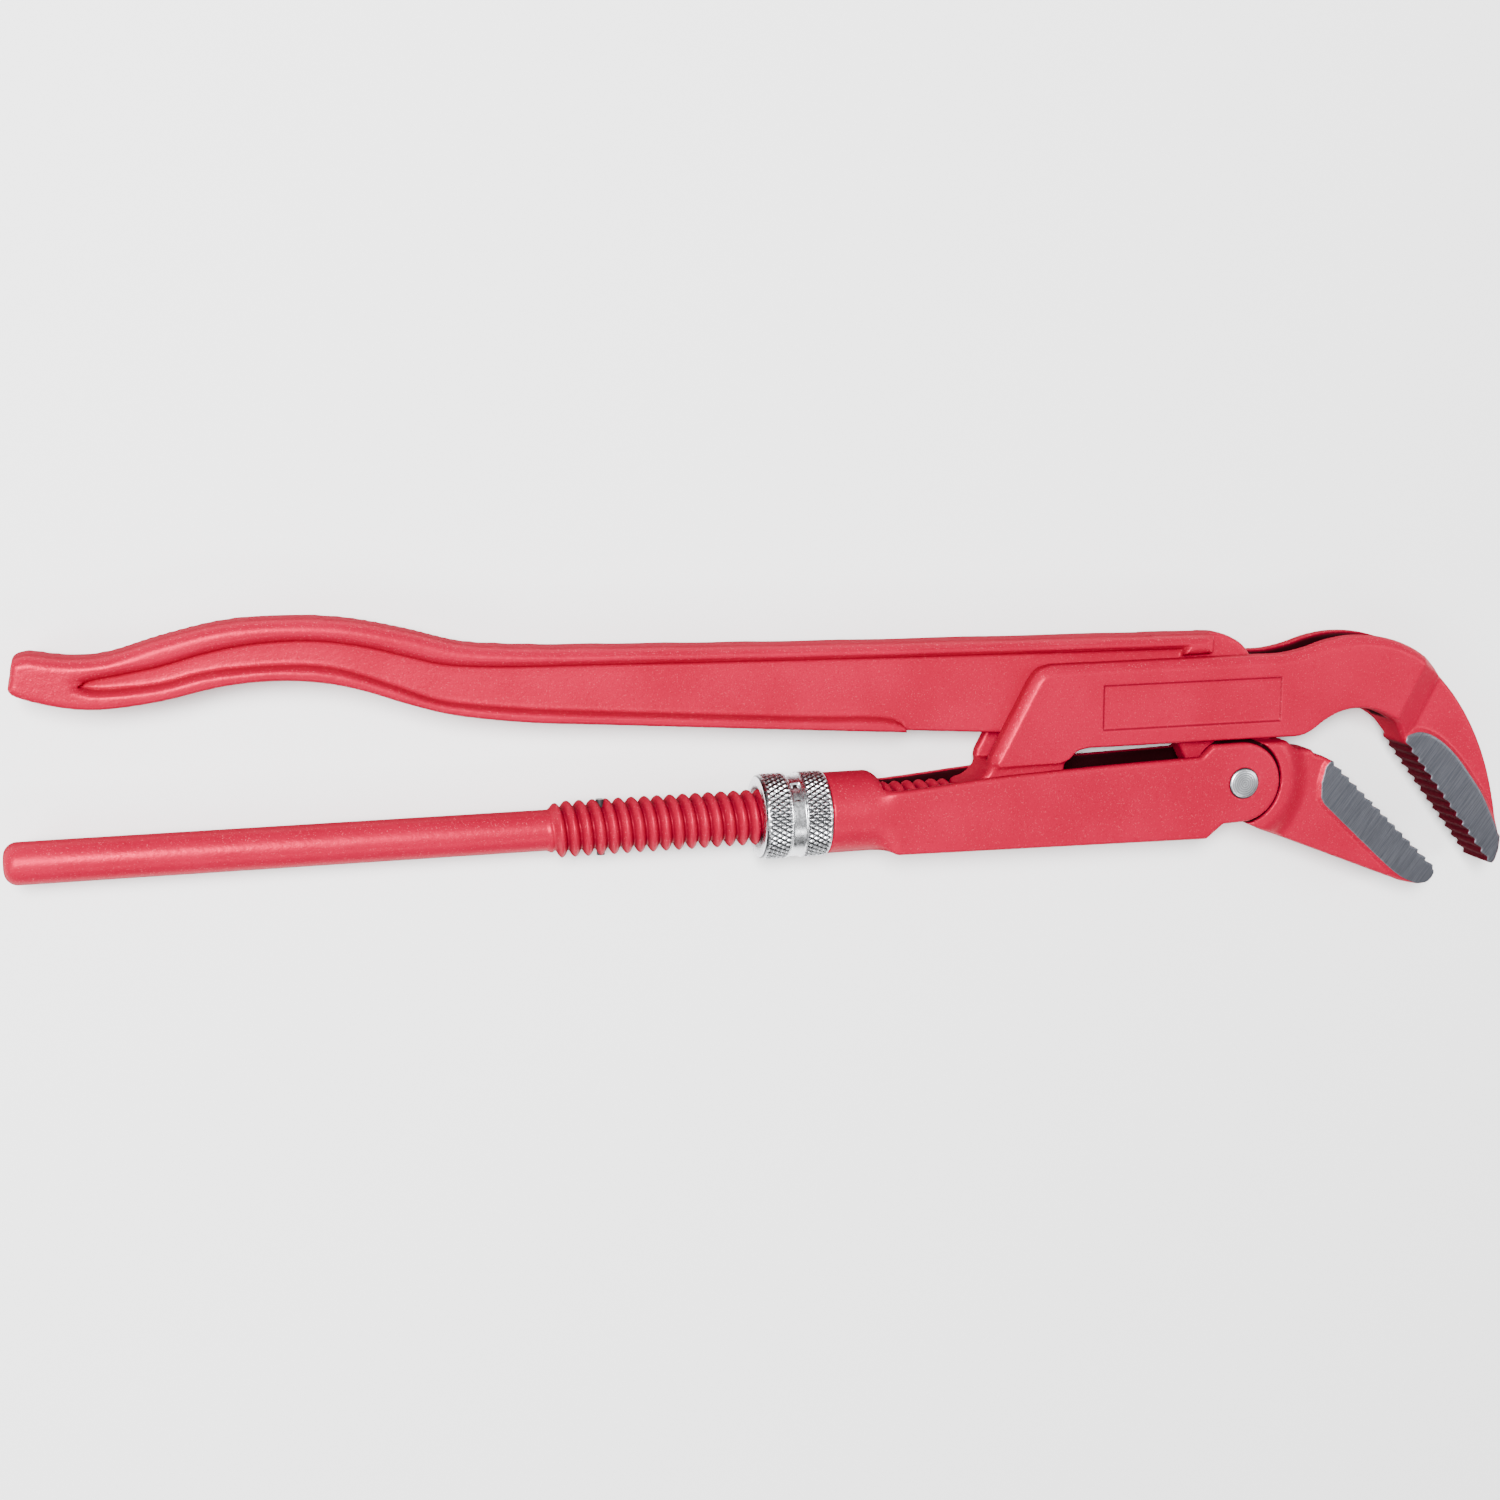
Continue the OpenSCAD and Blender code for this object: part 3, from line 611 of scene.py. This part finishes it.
def sleeve_field(g):
    wall = g.outline(section("sleeve", 9.8)) - 0.16
    first = int(np.searchsorted(g.X[:, 0], SLEEVE_FLAT_X))
    wall[:first] = wall[first]
    solid = plate(g, wall, SLEEVE_HALF, 1.1, 1.1)
    blend = ramp(g.x3(), TUBE[1] - 0.6, SLEEVE_FLAT_X - 0.4)
    f = (g.r_axis - TUBE_R) * (1 - blend) + solid * blend
    f = np.maximum(f, TUBE[0] - g.x3())
    neck = np.maximum(g.r_axis - NECK_R, np.maximum(NECK_X - g.x3(), g.x3() - TUBE[0] - 1))
    groove = np.maximum(np.abs(g.x3() - RING_X) - RING_HALF, RING_FLOOR_R - g.r_axis)
    f = np.minimum(f, np.maximum(neck, -groove))
    f = cut(f, g.r_axis - BORE_R, 0.3)
    channel = np.maximum(np.maximum(CHANNEL_X - g.x3(), -g.y3()), np.abs(g.Z) - BORE_R)
    fork = np.maximum(FORK_X - g.x3(), np.abs(g.Z) - BORE_R)
    return cut(f, np.minimum(channel, fork), 0.4).astype(np.float32)


def grown(name, field, lo, hi, step, body, material, slot, replaced=()):
    g = Grid(lo, hi, step * COARSE)
    verts, quads = surface(field(g), g)
    return piece(name, verts, quads, body, material, replaced)


def split(name, field, lo, hi, x, steps, body, material, slot, replaced):
    """One solid in two meshes that meet at station x, the left one coarser."""
    for part, (a, b, step) in enumerate(((lo[0], x, steps[0]), (x, hi[0], steps[1]))):
        g = Grid((a, lo[1], lo[2]), (b, hi[1], hi[2]), step * COARSE)
        f = field(g)
        verts, quads = surface(f, g)
        side = verts[:, 0] > x if part == 0 else verts[:, 0] < x
        keep = ~side[quads].all(1)
        verts[side, 0] = x
        quads = quads[keep]
        used, quads = np.unique(quads, return_inverse=True)
        hides = replaced if part else ()
        piece(f"{name}_{part}", verts[used], quads.reshape(-1, 4), body, material, hides)


# ---- turned pieces ----

def ring_quads(rows, turns):
    """Quads between rings of points, one ring to a row."""
    i, j = np.meshgrid(np.arange(rows - 1) * turns, np.arange(turns), indexing="ij")
    k = (j + 1) % turns
    return np.stack([i + j, i + k, i + turns + k, i + turns + j], -1).reshape(-1, 4)


def round_x(x, r, a):
    """Points at station x and radius r, turned about the rod's axis by a from +Y towards +Z."""
    return np.stack([x, r * np.cos(a), r * np.sin(a)], -1).reshape(-1, 3)


def circle(turns):
    return np.linspace(0, 2 * math.pi, turns, endpoint=False)


def thread_height(x, a):
    """0 at the root to 1 at the crest of the right-hand thread, rounded."""
    phase = (x - THREAD_START) / PITCH - a / (2 * math.pi)
    off = np.abs(phase - np.round(phase)) * 2
    return (1 - np.minimum(off * 1.15, 1) ** 1.7) ** 0.9


def rod():
    turns = 72
    a = circle(turns)
    start = box_mm("hook_arm")[0].x
    arc = np.radians(np.arange(0, 91, 7.5))
    end_x = start + ROD_END_R * (1 - np.cos(arc))
    end_r = ROD_R - ROD_END_R + ROD_END_R * np.sin(arc)
    plain = np.linspace(end_x[-1] + 1, THREAD_FROM - 3, 50)
    threaded = np.arange(THREAD_FROM - 2.5, THREAD_TO + 2.4, 0.22)
    more = np.concatenate([plain, threaded, [SHANK_END, SHANK_END]])
    x = np.concatenate([[start], end_x, more])[:, None] + 0 * a
    core = np.concatenate([[POINT], end_r, np.where(more < 0, ROD_R, SHANK_R)])[:, None]
    core[-1] = POINT
    fade = ramp(x, THREAD_FROM - 1.5, THREAD_FROM + 2.5) * (1 - ramp(x, THREAD_TO - 2, THREAD_TO + 2))
    low, high = ROOT_R + 0.05, THREAD_R - 0.02
    r = core + (low + (high - low) * thread_height(x, a) - core) * fade
    quads = ring_quads(len(x), turns)
    return piece("rod_and_thread", round_x(x, r, a), quads, "hook_arm", RED_ROD)


def knurl(x, a, cells):
    """Depth from 0 at a point's top to 1 in the grooves of a diamond knurl."""
    along_x, round_nut = x / 2.55, a * cells / (2 * math.pi)
    saws = [np.abs(v - np.floor(v) - 0.5) * 2 for v in (along_x + round_nut, along_x - round_nut)]
    return np.maximum(0, np.maximum(*saws) - 0.18) / 0.82


def nut():
    cells = 44
    turns = cells * 10
    a = circle(turns)
    # rings from the bore's front, out over the rear face, forward over the knurl and back inside
    bore = [(x, 0) for x in np.arange(0.6, 7.01, 0.25)[::-1]]
    rear = [(0.15, THREAD_R + 0.75), (0.02, THREAD_R + 1.05), (0.0, THREAD_R + 1.2), (0.0, NUT_R - 1.15),
            (0.02, NUT_R - 1.0), (0.16, NUT_R - 0.75), (0.5, NUT_R - 0.4)]
    outside = [(x, NUT_R) for x in np.arange(0.9, NUT_LEN - 0.35, 0.2)]
    front = [(NUT_LEN - 0.25, NUT_R - 0.35), (NUT_LEN - 0.05, NUT_R - 0.55), (NUT_LEN, NUT_R - 0.7),
             (NUT_LEN, NUT_BORE_R + 0.15), (NUT_LEN - 0.15, NUT_BORE_R + 0.02), (7.1, NUT_BORE_R + 0.02),
             (7.0, NUT_BORE_R - 0.1)]
    rings = np.array(bore + rear + outside + front)
    x, r = (rings[:, i][:, None] + 0 * a for i in (0, 1))
    row = np.arange(len(rings))[:, None] + 0 * a
    is_bore = row < len(bore)
    is_outside = (row >= len(bore + rear)) & (row < len(bore + rear + outside))
    threaded = ROOT_R + 0.3 + (THREAD_R - ROOT_R) * thread_height(x, a)
    r = np.where(is_bore, np.minimum(threaded, THREAD_R + 0.35), r)
    from_ring = np.abs(x - RING_X)
    in_band = ramp(from_ring, GROOVE_HALF + 0.45, GROOVE_HALF + 0.8)
    in_band = in_band * ramp(x, 0.8, 1.5) * (1 - ramp(x, NUT_LEN - 1.0, NUT_LEN - 0.4))
    deep = 0.03 + 0.55 * knurl(x, a, cells)
    groove = 0.45 * (1 - ramp(from_ring, GROOVE_HALF, GROOVE_HALF + 0.45))
    shoulder = 0.35 * (1 - ramp(x, 0.8, 1.6)) + 0.3 * ramp(x, NUT_LEN - 1.0, NUT_LEN - 0.4)
    r = np.where(is_outside, NUT_R - deep * in_band - groove - shoulder * (1 - in_band), r)
    away = (a - SLOT_ANGLE + math.pi) % (2 * math.pi) - math.pi
    length, width = RING_SLOT
    in_slot = is_outside & (from_ring < length / 2) & (np.abs(away) * NUT_R < width / 2)
    r = np.where(in_slot, NUT_BORE_R + 0.02, r)
    # the last ring joins the first, and the slot stays open
    here, beside = np.arange(turns), (np.arange(turns) + 1) % turns
    last = (len(rings) - 1) * turns
    closing = np.stack([here + last, beside + last, beside, here], -1)
    quads = np.concatenate([ring_quads(len(rings), turns), closing])
    quads = quads[~in_slot.reshape(-1)[quads].all(1)]
    return piece("nut_knurled", round_x(x, r, a), quads, "nut", BRIGHT, ("adjusting_nut",))


def rivet():
    lo, hi = box_mm("pivot_rivet")
    top, r = hi.z, (hi.x - lo.x) / 2
    shank_r, h = 3.75, top - SLEEVE_HALF
    head = [(-0.3 / h, r - shank_r), (0, r - shank_r), (0.02 / h, 0.05), (0.12, 0), (0.38, 0.08), (0.62, 0.3),
            (0.82, 0.75), (0.93, 1.35), (0.985, 2.2), (1, 3.1), (1 - 0.01 / h, 3.7)]
    head = [(SLEEVE_HALF + share * h, r - inset) for share, inset in head] + [(top - 0.03, POINT)]
    profile = np.array([(-z, q) for z, q in head[::-1]] + head)
    turns = 96
    a = circle(turns)
    z, q = (profile[:, i][:, None] + 0 * a for i in (0, 1))
    verts = np.stack([PIVOT.x + q * np.cos(a), PIVOT.y + q * np.sin(a), z], -1).reshape(-1, 3)
    quads = ring_quads(len(profile), turns)
    return piece("rivet_turned", verts, quads, "sleeve", RIVET, ("pivot_rivet",))


# ---- the wrench ----

def tooth_row(row, side):
    """A row's top, the way it runs and the way its mouth faces, a quarter turn to one side."""
    top, run = row
    return top, run, run + side * math.pi / 2


RED_SLEEVE = red_coat("red_coating", dark=painted_shade_sleeve)
RED_ROD = red_coat("red_coating_rod", thread=(THREAD_FROM, THREAD_TO))
RED_HOOK = red_coat("red_coating_hook", (CREASE, CREASE_TURN), tooth_row(HOOK_TEETH, -1), MAROON,
                    dark=painted_shade_hook)
RED_LEVER = red_coat("red_coating_lever", (LOWER_PAD_LINE, 0.0), tooth_row(LOWER_TEETH, 1),
                     rgb(0.10, 0.02, 0.03), dark=painted_shade_lever)
BRIGHT = plated("bright_plate", (0.80, 0.81, 0.84), 0.26, True)
WIRE = plated("spring_wire", (0.045, 0.018, 0.020), 0.45)
RIVET = turned_steel()
BLACK = black_oxide()

hook_lo, hook_hi = box_mm("hook_arm")
hook_start = SHANK_END - 3.5
hook_near, hook_far = (hook_start, hook_lo.y, -BODY_HALF), (hook_hi.x, hook_hi.y, BODY_HALF)
grown("hook_body", hook_arm_field, hook_near, hook_far, 0.46,
      "hook_arm", RED_HOOK, "red_coating", ("hook_arm",))
split("lever", lever_field, *box_mm("lever_arm"), 112.0, (0.6, 0.42),
      "lever", RED_LEVER, "red_coating", ("lever_arm",))
grown("sleeve_body", sleeve_field, *box_mm("sleeve"), 0.46, "sleeve", RED_SLEEVE, "red_coating", ("sleeve",))
rod()
nut()
rivet()
for node, material, slot in (("retaining_ring", WIRE, "spring_wire"), ("stop_pin", BLACK, "black_pin")):
    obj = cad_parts[node]
    obj.data.materials.clear()
    obj.data.materials.append(material)


# ---- floor, light and camera ----

def floor():
    """A plain pale floor."""
    p = Paint("studio_floor")
    p.set(base_color=rgb(0.93, 0.93, 0.93), roughness=0.9, specular_ior_level=0.1)
    size = 3.0
    mesh = bpy.data.meshes.new("floor")
    corners = [(-size, -size, 0), (size, -size, 0), (size, size, 0), (-size, size, 0)]
    mesh.from_pydata(corners, [], [(0, 1, 2, 3)])
    mesh.materials.append(p.material)
    obj = bpy.data.objects.new("floor", mesh)
    bpy.context.scene.collection.objects.link(obj)


def softbox(name, place, size, power):
    """A rectangular light that faces the wrench."""
    light = bpy.data.lights.new(name, "AREA")
    light.shape = "RECTANGLE"
    light.size, light.size_y = size
    light.energy = power
    obj = bpy.data.objects.new(name, light)
    obj.location = place
    obj.rotation_euler = (-Vector(place)).to_track_quat("-Z", "Y").to_euler()
    bpy.context.scene.collection.objects.link(obj)


def sky():
    """A world that is dark at the horizon and pale overhead."""
    world = bpy.data.worlds.new("studio")
    world.use_nodes = True
    tree = world.node_tree
    split_z = tree.nodes.new("ShaderNodeSeparateXYZ")
    fade = tree.nodes.new("ShaderNodeMapRange")
    tree.links.new(tree.nodes.new("ShaderNodeTexCoord").outputs["Generated"], split_z.inputs[0])
    tree.links.new(split_z.outputs["Z"], fade.inputs["Value"])
    for socket, value in zip(fade.inputs[1:5], (0.0, 0.9, 0.03, 0.45)):
        socket.default_value = value
    tree.links.new(fade.outputs[0], tree.nodes["Background"].inputs["Strength"])
    tree.nodes["Background"].inputs["Color"].default_value = rgb(1, 1, 1)
    bpy.context.scene.world = world


def viewpoint():
    yaw, pitch, roll = (math.radians(v) for v in (14.499, 10.666, 0.429))
    place = Vector((-141.6, 123.7, 541.3)) * MM
    camera = bpy.data.cameras.new("camera")
    camera.lens, camera.sensor_width = 51.05, 36.0
    camera.clip_start = 0.01
    eye = bpy.data.objects.new("camera", camera)
    turn = Matrix.Rotation(roll, 3, "Z") @ Matrix.Rotation(pitch, 3, "X") @ Matrix.Rotation(yaw, 3, "Y")
    eye.matrix_world = Matrix.Translation(ORIGIN + place) @ turn.transposed().to_4x4()
    bpy.context.scene.collection.objects.link(eye)
    bpy.context.scene.camera = eye


floor()
softbox("key", (-0.45, 0.40, 1.30), (0.6, 0.35), 66)
softbox("fill", (-1.0, -0.3, 0.9), (0.5, 0.5), 7)
softbox("edge", (1.05, 0.15, 0.8), (0.3, 0.6), 6)
softbox("front", (0.1, -0.9, 1.1), (1.0, 0.2), 5)
sky()
viewpoint()
